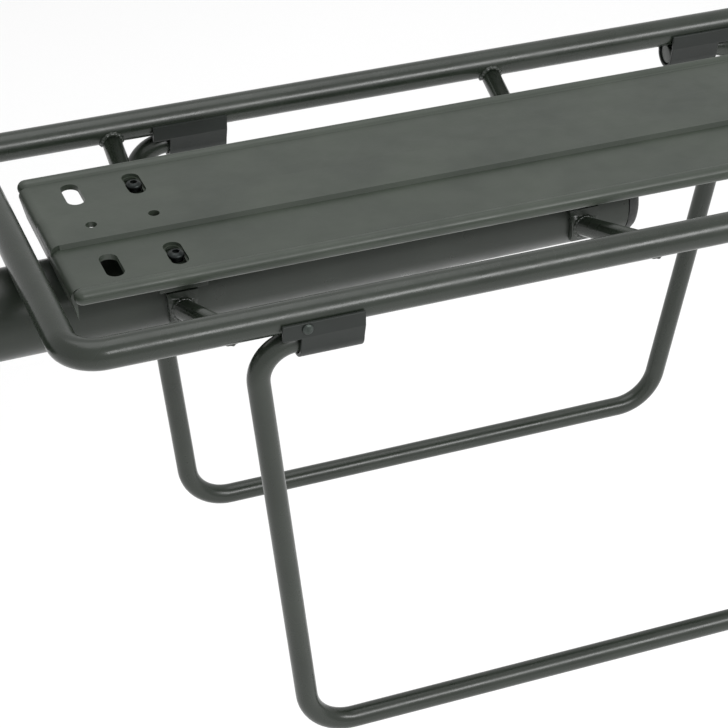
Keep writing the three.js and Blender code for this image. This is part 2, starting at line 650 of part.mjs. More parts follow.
// A box over all that lies beyond the clamp's split. side is 1 for the body and -1 for the jaw.
function otherSide(side) {
  const reach = RING_OUTER * 4;
  const edge = (side * CLAMP_SPLIT) / 2;
  const x0 = side > 0 ? -reach : edge;
  const x1 = side > 0 ? edge : reach;
  return box(x0, x1, -reach, reach, -reach, reach);
}

function earBlank(side) {
  const inner = (side * CLAMP_SPLIT) / 2;
  const outer = side * EAR_OUTER_X;
  const x0 = Math.min(inner, outer);
  const x1 = Math.max(inner, outer);
  const yIn = -(RING_INNER + CLAMP_WALL / 2);
  const flat = box(x0, x1, EAR_Y, yIn, -EAR_HEIGHT / 2, EAR_HEIGHT / 2);
  const round = bar(vec(x0, EAR_Y, 0), vec(x1, EAR_Y, 0), EAR_HEIGHT / 2, 32);
  return [flat, round];
}

function boltHole(radius) {
  return bar(vec(-RING_OUTER, EAR_Y, 0), vec(RING_OUTER, EAR_Y, 0), radius, 24);
}

function knuckle(side, z0, z1) {
  const round = bar(vec(0, KNUCKLE_Y, z0), vec(0, KNUCKLE_Y, z1), KNUCKLE_DIAMETER / 2, 28);
  const inner = (side * CLAMP_SPLIT) / 2;
  const outer = side * (KNUCKLE_DIAMETER / 2);
  const arm = box(Math.min(inner, outer), Math.max(inner, outer), RING_INNER + 1, KNUCKLE_Y, z0, z1);
  return [round, arm];
}

function hingeBore() {
  const from = vec(0, KNUCKLE_Y, -halfHeight - CUT_EXTRA);
  return bar(from, vec(0, KNUCKLE_Y, halfHeight + CUT_EXTRA), HINGE_PIN / 2 + RUN_GAP, 28);
}

// The beam's axis as it lies in the clamp's tilted frame.
function beamInClamp(from, to, radius) {
  const geometry = bar(vec(from, 0, 0), vec(to, 0, 0), radius, 56);
  return geometry.rotateY(-THREE.MathUtils.degToRad(POST_ANGLE) - BEAM_SLOPE);
}

// The other half of the ring, a little larger all round, cut from the knuckles that reach past it.
function roomForOther(side) {
  const grown = 1 + (RUN_GAP * 2) / RING_OUTER;
  return combine([ringBlank()], [otherSide(-side)]).scale(grown, grown, 1.1);
}

function clampBody() {
  const socketStart = RING_INNER + 1;
  const bedStart = RING_OUTER + SOCKET_FLOOR;
  const socketEnd = bedStart + SOCKET_LENGTH;
  const socketRadius = BEAM_DIAMETER / 2 + WELD_GAP + SOCKET_WALL;
  const outerKnuckle = KNUCKLE_HEIGHT / 2 + RUN_GAP;
  const ring = combine([ringBlank()], [otherSide(1)]);
  const parts = [
    ring,
    beamInClamp(socketStart, socketEnd, socketRadius),
    ...earBlank(1),
    ...knuckle(1, outerKnuckle, halfHeight),
    ...knuckle(1, -halfHeight, -outerKnuckle),
  ];
  const bed = beamInClamp(bedStart, socketEnd + CUT_EXTRA, BEAM_DIAMETER / 2 + WELD_GAP);
  const holes = [postBore(RING_INNER), boltHole(QR_BOLT / 2 + WELD_GAP), hingeBore()];
  return combine(parts, [roomForOther(1), bed, ...holes]);
}

function clampJaw() {
  const ring = combine([ringBlank()], [otherSide(-1)]);
  const parts = [ring, ...earBlank(-1), ...knuckle(-1, -KNUCKLE_HEIGHT / 2, KNUCKLE_HEIGHT / 2)];
  const holes = [postBore(RING_INNER), boltHole(QR_BOLT / 2 + RUN_GAP * 2.5), hingeBore()];
  return combine(parts, [roomForOther(-1), ...holes]);
}

function clampLiner(side) {
  const radius = POST_DIAMETER / 2 + LINER_WALL;
  const high = halfHeight - 1;
  const edge = side * (CLAMP_SPLIT / 2 + WELD_GAP);
  const reach = RING_OUTER * 2;
  const x0 = side > 0 ? -reach : edge;
  const x1 = side > 0 ? edge : reach;
  const ring = bar(vec(0, 0, -high), vec(0, 0, high), radius, 56);
  return combine([ring], [postBore(POST_DIAMETER / 2), box(x0, x1, -reach, reach, -reach, reach)]);
}

function jawHingePin() {
  const end = halfHeight + 0.6;
  return combine([bar(vec(0, KNUCKLE_Y, -end), vec(0, KNUCKLE_Y, end), HINGE_PIN / 2, 28)]);
}

// ---------- quick release ----------

function qrBolt() {
  const tail = EAR_OUTER_X + WELD_GAP + QR_NUT_LENGTH + QR_BOLT_TAIL;
  return combine([bar(vec(BARREL_X - QR_BARREL * 0.3, EAR_Y, 0), vec(tail, EAR_Y, 0), QR_BOLT / 2, 24)]);
}

// A thumb nut with a scalloped rim.
function qrAdjustingNut() {
  const start = EAR_OUTER_X + WELD_GAP;
  const body = bar(vec(start, EAR_Y, 0), vec(start + QR_NUT_LENGTH, EAR_Y, 0), QR_NUT / 2, 40);
  const cuts = [boltHole(QR_BOLT / 2 + WELD_GAP)];
  const scallops = 10;
  for (let i = 0; i < scallops; i += 1) {
    const angle = (Math.PI * 2 * i) / scallops;
    const y = EAR_Y + Math.cos(angle) * (QR_NUT / 2 + 0.6);
    const z = Math.sin(angle) * (QR_NUT / 2 + 0.6);
    cuts.push(bar(vec(start + 1.5, y, z), vec(start + QR_NUT_LENGTH + CUT_EXTRA, y, z), 1.4, 12));
  }
  return combine([body], cuts);
}

function qrLeverBarrel() {
  const half = QR_CAM_WIDTH / 2 - 0.2;
  const body = bar(vec(BARREL_X, EAR_Y, -half), vec(BARREL_X, EAR_Y, half), QR_BARREL / 2, 28);
  return combine([body], [boltHole(QR_BOLT / 2 + WELD_GAP)]);
}

// The arm's outline, drawn as (x, y) in the clamp's frame: it hugs the jaw's front, then flares a little.
function leverArmShape() {
  const innerRadius = RING_OUTER + QR_ARM_CLEARANCE;
  const outerRadius = innerRadius + QR_ARM_THICKNESS;
  const tip = THREE.MathUtils.degToRad(QR_ARM_TIP);
  const start = THREE.MathUtils.degToRad(-42);
  const at = (radius, angle) => [-radius * Math.cos(angle), radius * Math.sin(angle)];
  const points = [];
  points.push([BARREL_X + QR_CAM * 0.28, EAR_Y + QR_CAM * 0.36]);
  for (let i = 0; i <= 10; i += 1) points.push(at(innerRadius, start + ((tip - start) * i) / 10));
  points.push(at(outerRadius + 2.6, tip + 0.12));
  for (let i = 10; i >= 0; i -= 1) points.push(at(outerRadius, start + ((tip - start) * i) / 10));
  points.push([BARREL_X - QR_CAM * 0.46, EAR_Y + QR_CAM * 0.2]);
  points.push([BARREL_X, EAR_Y - 1]);
  return outline(points);
}

function qrLever() {
  const half = QR_CAM_WIDTH / 2;
  const camX = BARREL_X + QR_THROW;
  const cam = bar(vec(camX, EAR_Y, -half), vec(camX, EAR_Y, half), QR_CAM / 2, 48);
  const arm = new THREE.ExtrudeGeometry(leverArmShape(), { depth: QR_ARM_WIDTH, bevelEnabled: false });
  arm.translate(0, 0, -QR_ARM_WIDTH / 2);
  const reach = QR_CAM;
  const slotTop = EAR_Y + QR_SLOT / 2;
  const slot = box(BARREL_X - reach, BARREL_X + reach, EAR_Y - reach, slotTop, -QR_SLOT / 2, QR_SLOT / 2);
  const bore = bar(vec(BARREL_X, EAR_Y, -reach), vec(BARREL_X, EAR_Y, reach), QR_BARREL / 2 + RUN_GAP, 28);
  return combine([cam, arm], [slot, bore]);
}

// ---------- assembly ----------

const rack = new THREE.Group();

rack.add(piece('perimeter_loop', perimeterLoop(), railPaint));
rack.add(piece('beam_tube', beamTube(), beamPaint));
rack.add(piece('beam_end_cap', beamEndCap(), blackPlastic, beamAt(BEAM_REAR_X + WELD_GAP)));
rack.add(piece('deck_plate', deckPlate(), deckPaint));
rack.add(piece('deck_saddle', deckSaddle(), beamPaint));
rack.add(piece('rear_cross_strap', rearCrossStrap(), beamPaint));

for (const { side, sign } of SIDES) {
  STRUT_XS.forEach((x, i) => {
    rack.add(piece(`strut_${i === 0 ? 'front' : 'rear'}_${side}`, strut(x, sign), railPaint));
  });
  SCREW_XS.forEach((x, i) => {
    const place = vec(x, (sign * SLOT_ACROSS) / 2, DECK_TOP_Z - LEDGE_DEPTH + WELD_GAP);
    rack.add(piece(`deck_screw_${i === 0 ? 'front' : 'rear'}_${side}`, deckScrew(), darkSteel, place));
  });
  for (const corner of CORNERS) {
    const near = corner.x + corner.towards * BRACKET_OFFSET;
    const start = corner.towards > 0 ? near : near - BRACKET_LENGTH;
    const bracketPlace = vec(start, sign * RAIL_Y, 0);
    const rivetY = sign * (RAIL_Y + RAIL_DIAMETER / 2 + WELD_GAP * 2 + BRACKET_SHEET);
    const rivetPlace = vec(rivetX(corner), rivetY, -RIVET_DROP);
    const place = `${corner.end}_${side}`;
    rack.add(piece(`hinge_bracket_${place}`, hingeBracket(corner, sign), bracketPaint, bracketPlace));
    rack.add(piece(`bracket_rivet_${place}`, rivet(sign), brightSteel, rivetPlace));
  }
  rack.add(piece(`pannier_frame_${side}`, pannierFrame(), framePaint, vec(0, sign * RAIL_Y, HINGE_Z)));
}

const clamp = new THREE.Group();
clamp.position.copy(beamAt(POST_X));
clamp.rotation.y = THREE.MathUtils.degToRad(POST_ANGLE);
clamp.add(piece('clamp_body', clampBody(), castPaint));
clamp.add(piece('clamp_jaw', clampJaw(), castPaint));
clamp.add(piece('jaw_hinge_pin', jawHingePin(), darkSteel));
clamp.add(piece('clamp_liner_rear', clampLiner(1), greyRubber));
clamp.add(piece('clamp_liner_front', clampLiner(-1), greyRubber));
clamp.add(piece('qr_bolt', qrBolt(), brightSteel));
clamp.add(piece('qr_adjusting_nut', qrAdjustingNut(), darkSteel));
clamp.add(piece('qr_lever_barrel', qrLeverBarrel(), brightSteel));
clamp.add(piece('qr_lever', qrLever(), castPaint));
rack.add(clamp);

rack.position.copy(beamAt(POST_X)).negate();
const carrier = new THREE.Group();
carrier.add(rack);

export default carrier;
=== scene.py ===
import json
import math

import bmesh
import bpy
from mathutils import Matrix, Vector

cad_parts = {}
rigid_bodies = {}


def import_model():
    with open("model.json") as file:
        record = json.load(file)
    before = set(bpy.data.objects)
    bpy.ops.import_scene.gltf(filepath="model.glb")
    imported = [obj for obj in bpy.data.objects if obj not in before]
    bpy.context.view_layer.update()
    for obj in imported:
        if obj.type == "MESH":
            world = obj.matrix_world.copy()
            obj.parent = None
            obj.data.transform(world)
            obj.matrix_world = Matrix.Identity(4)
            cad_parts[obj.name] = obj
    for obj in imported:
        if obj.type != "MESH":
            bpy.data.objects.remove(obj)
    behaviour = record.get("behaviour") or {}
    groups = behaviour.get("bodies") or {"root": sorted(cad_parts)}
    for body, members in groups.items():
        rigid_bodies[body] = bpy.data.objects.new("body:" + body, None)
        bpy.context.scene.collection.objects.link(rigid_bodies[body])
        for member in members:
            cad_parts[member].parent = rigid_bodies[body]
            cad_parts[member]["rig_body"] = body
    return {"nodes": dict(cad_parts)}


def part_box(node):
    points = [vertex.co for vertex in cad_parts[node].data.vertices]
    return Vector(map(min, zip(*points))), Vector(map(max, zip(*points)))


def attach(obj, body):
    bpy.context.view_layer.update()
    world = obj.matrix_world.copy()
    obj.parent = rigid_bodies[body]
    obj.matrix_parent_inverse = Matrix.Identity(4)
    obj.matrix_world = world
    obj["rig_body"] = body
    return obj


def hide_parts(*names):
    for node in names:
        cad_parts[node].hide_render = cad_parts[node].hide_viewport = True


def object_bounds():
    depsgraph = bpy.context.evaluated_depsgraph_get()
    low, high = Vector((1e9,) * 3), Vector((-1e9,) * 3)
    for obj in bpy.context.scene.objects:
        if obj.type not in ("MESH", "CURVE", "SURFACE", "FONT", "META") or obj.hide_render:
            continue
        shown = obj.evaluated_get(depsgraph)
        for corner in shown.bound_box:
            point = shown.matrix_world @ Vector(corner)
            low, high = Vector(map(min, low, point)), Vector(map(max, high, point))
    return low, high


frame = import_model()
cad_low, cad_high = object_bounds()

MM = 0.001
Z_AXIS = Vector((0, 0, 1))

SIDES = {"left": -1, "right": 1}  # the sign of Y on each side
ENDS = ("front", "rear")


# ---------- what the pieces are placed by ----------


def middle(node):
    low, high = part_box(node)
    return (low + high) / 2


rail_low, rail_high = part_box("perimeter_loop")
RAIL_RADIUS = 5 * MM
RAIL_BEND = 11 * MM
RAIL_Z = middle("perimeter_loop").z
RAIL_Y = rail_high.y - RAIL_RADIUS

FRAME_RADIUS = 3.75 * MM
FRAME_TOP_BEND = 12 * MM
FRAME_BOTTOM_BEND = 17 * MM
FRAME_FRONT_LEAN = 15.7 * MM  # how far a leg's foot stands inwards of its top
FRAME_REAR_LEAN = 31.3 * MM
FRAME_END_INSET = 0.5 * MM  # from the rod's end to its bracket's end
FRAME_END_CHAMFER = 0.6 * MM
BRACKET_OFFSET = 7.5 * MM  # from a leg's corner to its bracket

BEAM_RADIUS = 15 * MM
BEAM_TILT = math.radians(0.64)
BEAM_MIDDLE = middle("beam_tube")
PAD_THICKNESS = 2.3 * MM  # a strut's foot, with its gap to the beam

STRUT_RADIUS = 3.5 * MM
STRUT_FOOT_OUT = 10 * MM  # where a strut's line passes the beam's axis
STRUT_FOOT_DROP = 4.5 * MM
STRUT_TOP_DROP = 1.5 * MM  # how far below the rail's axis the same line ends

RAIL_BEAD = 1 * MM  # the welds' radii
BEAM_BEAD = 0.8 * MM

# Points closer than these are joined.
SEAM = 0.002 * MM
CAD_SEAM = 0.004 * MM
SPIN_SEAM = 0.005 * MM
FLAT_WITHIN = math.radians(1.5)  # CAD facets that turn less than this become one face


def beam_at(x):
    """The point of the beam's axis that lies at x."""
    return Vector((x, 0, BEAM_MIDDLE.z + (x - BEAM_MIDDLE.x) * math.tan(BEAM_TILT)))


# ---------- materials ----------


def linear(hex_colour):
    """An sRGB hex colour as linear RGBA."""
    values = [int(hex_colour[i : i + 2], 16) / 255 for i in (1, 3, 5)]
    return [v / 12.92 if v <= 0.04045 else ((v + 0.055) / 1.055) ** 2.4 for v in values] + [1]


def add_node(tree, kind, inputs=None, **settings):
    """A node with its settings. An input is a plain value, or the socket that it is linked to."""
    node = tree.nodes.new(kind)
    for name, value in settings.items():
        setattr(node, name, value)
    for name, value in (inputs or {}).items():
        if isinstance(value, bpy.types.NodeSocket):
            tree.links.new(value, node.inputs[name])
        else:
            node.inputs[name].default_value = value
    return node


def new_material(name):
    """An empty material, its node tree, its shader and the piece's own coordinates."""
    material = bpy.data.materials.new(name)
    material.use_nodes = True
    tree = material.node_tree
    tree.nodes.clear()
    shader = add_node(tree, "ShaderNodeBsdfPrincipled")
    add_node(tree, "ShaderNodeOutputMaterial", {"Surface": shader.outputs["BSDF"]})
    place = add_node(tree, "ShaderNodeTexCoord").outputs["Object"]
    return material, tree, shader, place


def noise(tree, place, size_mm, detail):
    """Noise whose features are about size_mm across. Object coordinates are in metres."""
    inputs = {"Vector": place, "Scale": 1 / (size_mm * MM), "Detail": detail}
    return add_node(tree, "ShaderNodeTexNoise", inputs).outputs["Fac"]


def ramp(tree, value, low, high):
    """Maps the middle of a noise's range onto low to high."""
    inputs = {"Value": value, "From Min": 0.3, "From Max": 0.7, "To Min": low, "To Max": high}
    return add_node(tree, "ShaderNodeMapRange", inputs).outputs["Result"]


def tint(tree, value, dark, light):
    """A colour between two hex colours, by a value from 0 to 1."""
    node = add_node(tree, "ShaderNodeMix", data_type="RGBA")
    tree.links.new(value, node.inputs["Factor"])
    node.inputs["A"].default_value = linear(dark)
    node.inputs["B"].default_value = linear(light)
    return node.outputs["Result"]


def bump(tree, height, distance_mm, strength, under=None):
    """Bumps distance_mm deep, on top of another bump where one is given."""
    inputs = {"Height": height, "Distance": distance_mm * MM, "Strength": strength}
    if under:
        inputs["Normal"] = under
    return add_node(tree, "ShaderNodeBump", inputs).outputs["Normal"]


def satin_powder_coat(name, dark, light, roughness, gloss=0.5):
    """Polyester powder coat, sprayed and baked on tube and sheet. It gives an even charcoal satin:
    soft broad highlights that break up a little on its orange peel, and a faint cloudiness where
    the film is thicker."""
    material, tree, shader, place = new_material(name)
    film = noise(tree, place, 26, 3)
    # Real orange peel is 0.8 mm or so: it is drawn coarser, so that it shows.
    peel = noise(tree, place, 1.6, 2)
    grain = noise(tree, place, 0.5, 1)
    tree.links.new(tint(tree, ramp(tree, film, 0, 1), dark, light), shader.inputs["Base Color"])
    spread = ramp(tree, noise(tree, place, 9, 2), roughness - 0.05, roughness + 0.06)
    tree.links.new(spread, shader.inputs["Roughness"])
    fine = bump(tree, grain, 0.012, 0.5)
    tree.links.new(bump(tree, peel, 0.05, 0.55, fine), shader.inputs["Normal"])
    shader.inputs["IOR"].default_value = 1.5
    shader.inputs["Specular IOR Level"].default_value = gloss
    return material


def zinc_plated_steel(name, dark, light):
    """Turned or headed steel with clear zinc: a little milky, its tool marks blurred by the
    plating. Handled parts stay pale; the rivets get a darker grey copy of it."""
    material, tree, shader, place = new_material(name)
    cloud = noise(tree, place, 2.2, 3)
    tree.links.new(tint(tree, ramp(tree, cloud, 0, 1), dark, light), shader.inputs["Base Color"])
    tree.links.new(ramp(tree, noise(tree, place, 0.7, 2), 0.34, 0.5), shader.inputs["Roughness"])
    tree.links.new(bump(tree, noise(tree, place, 0.4, 1), 0.01, 0.5), shader.inputs["Normal"])
    shader.inputs["Metallic"].default_value = 1
    return material


def black_oxide_steel():
    """Blackened steel: near black, slightly oily, with worn paler edges left to the highlights."""
    material, tree, shader, place = new_material("black_oxide_steel")
    cloud = noise(tree, place, 3, 3)
    colour = tint(tree, ramp(tree, cloud, 0, 1), "#1f2222", "#333736")
    tree.links.new(colour, shader.inputs["Base Color"])
    tree.links.new(ramp(tree, noise(tree, place, 1, 2), 0.3, 0.48), shader.inputs["Roughness"])
    tree.links.new(bump(tree, noise(tree, place, 0.5, 1), 0.012, 0.5), shader.inputs["Normal"])
    shader.inputs["Metallic"].default_value = 0.9
    return material


def moulded_nylon():
    """Injection-moulded black nylon with a fine spark-eroded texture: matt, a little grey at
    grazing angles."""
    material, tree, shader, place = new_material("moulded_black_nylon")
    cloud = noise(tree, place, 12, 2)
    colour = tint(tree, ramp(tree, cloud, 0, 1), "#1b1d1c", "#272a28")
    tree.links.new(colour, shader.inputs["Base Color"])
    tree.links.new(ramp(tree, noise(tree, place, 1.2, 2), 0.5, 0.66), shader.inputs["Roughness"])
    tree.links.new(bump(tree, noise(tree, place, 0.6, 2), 0.04, 0.6), shader.inputs["Normal"])
    shader.inputs["IOR"].default_value = 1.53
    return material


def moulded_rubber():
    """Moulded rubber lining: dead matt dark grey, with a soft bloom in patches and fine ribs
    across it."""
    material, tree, shader, place = new_material("moulded_rubber")
    bloom = noise(tree, place, 6, 3)
    colour = tint(tree, ramp(tree, bloom, 0, 1), "#1f2020", "#303232")
    tree.links.new(colour, shader.inputs["Base Color"])
    tree.links.new(ramp(tree, bloom, 0.78, 0.95), shader.inputs["Roughness"])
    settings = {"wave_type": "BANDS", "bands_direction": "Z", "wave_profile": "SIN"}
    rib_pitch = 1.6 * MM
    # Wave's bands repeat every pi / 10 at scale 1.
    inputs = {"Vector": place, "Scale": math.pi / 10 / rib_pitch}
    ribs = add_node(tree, "ShaderNodeTexWave", inputs, **settings).outputs["Fac"]
    tree.links.new(bump(tree, ribs, 0.12, 0.7), shader.inputs["Normal"])
    shader.inputs["IOR"].default_value = 1.52
    return material


ROD_COAT = satin_powder_coat("satin_powder_coat_rods", "#1e241d", "#272d26", 0.27)
# The beam, its saddle bar and its cross strap wear the rods' same charcoal coat, painted darker:
# painted shade where they sit under the deck.
BEAM_PAINTED_SHADE_COAT = satin_powder_coat("satin_powder_coat_beam_painted_shade", "#1a2019", "#222821", 0.32, 0.4)
# The deck wears the same charcoal coat, painted lighter: painted light on its upward-facing top.
DECK_PAINTED_LIGHT_COAT = satin_powder_coat("satin_powder_coat_deck_painted_light", "#2c332b", "#353c33", 0.42)
FRAME_COAT = satin_powder_coat("satin_powder_coat_frames", "#1f251e", "#282e27", 0.28)
# The hinge brackets wear the same charcoal coat, painted darker still: painted shade for faces
# that sit under the rails.
BRACKET_PAINTED_SHADE_COAT = satin_powder_coat(
    "satin_powder_coat_brackets_painted_shade", "#161a17", "#1e2320", 0.42, 0.36
)
CAST_COAT = satin_powder_coat("satin_powder_coat_castings", "#1c201b", "#252a24", 0.42)
ZINC = zinc_plated_steel("zinc_plated_steel", "#7b807f", "#a0a5a4")
# A darker grey copy of the zinc, for the rivets.
DARKER_ZINC = zinc_plated_steel("darker_zinc_plated_steel", "#3d423f", "#525754")
BLACK_STEEL = black_oxide_steel()
NYLON = moulded_nylon()
RUBBER = moulded_rubber()


# ---------- mesh helpers ----------


def finish_mesh(name, bm, material, body, smooth_angle, replaces=(), clean=True):
    """Makes a piece from a bmesh: closes seams, turns faces outwards, shades it smooth except at
    sharp edges."""
    if clean:
        bmesh.ops.remove_doubles(bm, verts=bm.verts, dist=SEAM)
        bmesh.ops.recalc_face_normals(bm, faces=bm.faces)
    mesh = bpy.data.meshes.new(name)
    bm.to_mesh(mesh)
    bm.free()
    mesh.shade_smooth()
    mesh.set_sharp_from_angle(angle=math.radians(smooth_angle))
    mesh.materials.append(material)
    piece = bpy.data.objects.new(name, mesh)
    bpy.context.scene.collection.objects.link(piece)
    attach(piece, body)
    if replaces:
        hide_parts(*replaces)
    return piece


def only(geometry, kind):
    return [item for item in geometry if isinstance(item, kind)]


def extrude_ring(bm, edges, move):
    """Extrudes a ring of edges and moves the new one. Returns the new ring's edges."""
    made = bmesh.ops.extrude_edge_only(bm, edges=edges)["geom"]
    bmesh.ops.translate(bm, verts=only(made, bmesh.types.BMVert), vec=move)
    return only(made, bmesh.types.BMEdge)


def round_off(bm, edges, heading, radius, chamfer):
    """Closes a rod's end with a rounded rim."""
    steps = 4
    ring = edges
    inner = radius - chamfer
    for i in range(1, steps + 1):
        angle = math.pi / 2 * i / steps
        before = math.pi / 2 * (i - 1) / steps
        ring = extrude_ring(bm, ring, heading * chamfer * (math.sin(angle) - math.sin(before)))
        verts = list({v for e in ring for v in e.verts})
        centre = sum((v.co for v in verts), Vector()) / len(verts)
        size = (inner + chamfer * math.cos(angle)) / (inner + chamfer * math.cos(before))
        bmesh.ops.scale(bm, verts=verts, vec=(size,) * 3, space=Matrix.Translation(-centre))
    bmesh.ops.contextual_create(bm, geom=ring)


def bent_rod(corners, bends, radius, sides, ends=0.0):
    """A round rod: straight runs between the corners, and a round bend at each inner one. Its two
    ends are rounded off by `ends`, or left open to be joined where that is 0."""
    steps = 14
    bm = bmesh.new()
    heading = (corners[1] - corners[0]).normalized()
    turn = heading.to_track_quat("Z", "Y").to_matrix().to_4x4()
    start = corners[0] + heading * ends
    bmesh.ops.create_circle(
        bm, cap_ends=False, radius=radius, segments=sides, matrix=Matrix.Translation(start) @ turn
    )
    first = ring = list(bm.edges)
    place = start
    for i, bend in enumerate(bends, 1):
        inward = (corners[i] - corners[i - 1]).normalized()
        outward = (corners[i + 1] - corners[i]).normalized()
        angle = inward.angle(outward)
        reach = bend * math.tan(angle / 2)
        axis = inward.cross(outward).normalized()
        bend_start = corners[i] - inward * reach
        ring = extrude_ring(bm, ring, bend_start - place)
        spun = bmesh.ops.spin(
            bm,
            geom=ring,
            cent=bend_start + axis.cross(inward) * bend,
            axis=axis,
            angle=angle,
            steps=steps,
            use_merge=False,
            use_duplicate=False,
        )
        ring = only(spun["geom_last"], bmesh.types.BMEdge)
        place = corners[i] + outward * reach
        heading = outward
    ring = extrude_ring(bm, ring, corners[-1] - heading * ends - place)
    if ends:
        first_heading = (corners[0] - corners[1]).normalized()
        round_off(bm, first, first_heading, radius, ends)
        round_off(bm, ring, heading, radius, ends)
    return bm


def turned(profile, place, axis, sides):
    """A turned piece: a profile of (radius, height) points in mm, spun about an axis through
    place."""
    bm = bmesh.new()
    turn = Matrix.Translation(place) @ axis.to_track_quat("Z", "Y").to_matrix().to_4x4()
    verts = [bm.verts.new((r * MM, 0, h * MM)) for r, h in profile]
    edges = [bm.edges.new(pair) for pair in zip(verts, verts[1:])]
    bmesh.ops.spin(
        bm,
        geom=verts + edges,
        cent=(0, 0, 0),
        axis=Z_AXIS,
        angle=math.tau,
        steps=sides,
        use_merge=True,
    )
    bmesh.ops.remove_doubles(bm, verts=bm.verts, dist=SPIN_SEAM)
    bmesh.ops.transform(bm, matrix=turn, verts=bm.verts)
    return bm


def refined(node, name, material, edge_mm, angle=32, segments=2):
    """A CAD node's shape standing for that node, with its edges rounded by edge_mm where they turn
    by more than angle degrees."""
    source = frame["nodes"][node]
    bm = bmesh.new()
    bm.from_mesh(source.data)
    bmesh.ops.remove_doubles(bm, verts=bm.verts, dist=CAD_SEAM)
    bmesh.ops.dissolve_limit(
        bm,
        angle_limit=FLAT_WITHIN,
        verts=bm.verts,
        edges=bm.edges,
        use_dissolve_boundaries=False,
    )
    body = source["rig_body"]
    piece = finish_mesh(name, bm, material, body, angle, (node,), clean=False)
    if edge_mm:
        rounding = piece.modifiers.new("rounding", "BEVEL")
        rounding.width = edge_mm * MM
        rounding.segments = segments
        rounding.limit_method = "ANGLE"
        rounding.angle_limit = math.radians(angle)
        rounding.harden_normals = True
        rounding.use_clamp_overlap = True
    return piece


def weld_bead(name, start, heading, bead, tube_point, tube_radius):
    """A fillet weld round a strut's end, lying along the tube that it meets. Tubes run along X."""
    bm = bmesh.new()
    sides, rings = 64, 12
    across = heading.orthogonal().normalized()
    turn = across.cross(heading).to_track_quat("Z", "Y").to_matrix().to_4x4()
    bmesh.ops.create_circle(
        bm,
        cap_ends=False,
        radius=bead,
        segments=rings,
        matrix=Matrix.Translation(start + across * STRUT_RADIUS) @ turn,
    )
    bmesh.ops.spin(
        bm,
        geom=list(bm.verts) + list(bm.edges),
        cent=start,
        axis=heading,
        angle=math.tau,
        steps=sides,
        use_merge=True,
    )
    bmesh.ops.remove_doubles(bm, verts=bm.verts, dist=SPIN_SEAM)
    side = heading.cross(across)
    run = Vector((0, heading.y, heading.z))
    a = run.dot(run)
    for vert in bm.verts:
        offset = vert.co - start
        flat = offset - heading * offset.dot(heading)
        around = math.atan2(flat.dot(side), flat.dot(across))
        # The puddles of the weld: a ripple that swells and shrinks the bead along its length.
        puddle = 1 + 0.14 * math.cos(around * 15) + 0.05 * math.cos(around * 4 + 1)
        foot = start + flat.normalized() * STRUT_RADIUS
        vert.co = foot + (vert.co - foot) * puddle
        # The bead's ring is moved along the strut to where its foot meets the tube's surface.
        gap = Vector((0, foot.y - tube_point.y, foot.z - tube_point.z))
        b = 2 * gap.dot(run)
        c = gap.dot(gap) - tube_radius**2
        root = max(b * b - 4 * a * c, 0)
        vert.co += heading * ((-b - math.sqrt(root)) / (2 * a))
    finish_mesh(name, bm, ROD_COAT, "carrier", 80)


# ---------- perimeter rod and pannier frames ----------


def perimeter_rod():
    middle_x = (rail_low.x + rail_high.x) / 2
    front, rear = rail_low.x + RAIL_RADIUS, rail_high.x - RAIL_RADIUS
    corners = [
        Vector((middle_x, -RAIL_Y, RAIL_Z)),
        Vector((front, -RAIL_Y, RAIL_Z)),
        Vector((front, RAIL_Y, RAIL_Z)),
        Vector((rear, RAIL_Y, RAIL_Z)),
        Vector((rear, -RAIL_Y, RAIL_Z)),
        Vector((middle_x, -RAIL_Y, RAIL_Z)),
    ]
    bm = bent_rod(corners, [RAIL_BEND] * 4, RAIL_RADIUS, sides=48)
    finish_mesh("perimeter_rod", bm, ROD_COAT, "carrier", 60, ("perimeter_loop",))


def pannier_rod(side):
    node = f"pannier_frame_{side}"
    low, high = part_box(node)
    y = SIDES[side] * RAIL_Y
    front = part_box(f"hinge_bracket_front_{side}")
    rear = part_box(f"hinge_bracket_rear_{side}")
    top = high.z - FRAME_RADIUS
    bottom = low.z + FRAME_RADIUS
    front_x = front[0].x - BRACKET_OFFSET
    rear_x = rear[1].x + BRACKET_OFFSET
    corners = [
        Vector((front[1].x - FRAME_END_INSET, y, top)),
        Vector((front_x, y, top)),
        Vector((front_x + FRAME_FRONT_LEAN, y, bottom)),
        Vector((rear_x - FRAME_REAR_LEAN, y, bottom)),
        Vector((rear_x, y, top)),
        Vector((rear[0].x + FRAME_END_INSET, y, top)),
    ]
    bends = [FRAME_TOP_BEND, FRAME_BOTTOM_BEND, FRAME_BOTTOM_BEND, FRAME_TOP_BEND]
    bm = bent_rod(corners, bends, FRAME_RADIUS, sides=40, ends=FRAME_END_CHAMFER)
    body = f"{side}_frame"
    finish_mesh(f"pannier_rod_{side}", bm, FRAME_COAT, body, 50, (node,))


# ---------- struts and their welds ----------


def strut_and_welds(end, side):
    """A strut from the beam's flank to the rail. The line of its welds is taken from its own box
    and the two tubes."""
    sign = SIDES[side]
    node = f"strut_{end}_{side}"
    x = middle(node).x
    beam_axis = beam_at(x)
    rail_axis = Vector((x, sign * RAIL_Y, RAIL_Z))
    foot = beam_axis + Vector((0, sign * STRUT_FOOT_OUT, -STRUT_FOOT_DROP))
    top = Vector((x, sign * RAIL_Y, RAIL_Z - STRUT_TOP_DROP))
    heading = (top - foot).normalized()
    centre = (top + foot) / 2
    pad_radius = BEAM_RADIUS + PAD_THICKNESS
    refined(node, f"round_{node}", ROD_COAT, 0)
    weld_bead(f"rail_weld_{end}_{side}", centre, heading, RAIL_BEAD, rail_axis, RAIL_RADIUS)
    weld_bead(f"beam_weld_{end}_{side}", centre, -heading, BEAM_BEAD, beam_axis, pad_radius)


# ---------- deck ----------


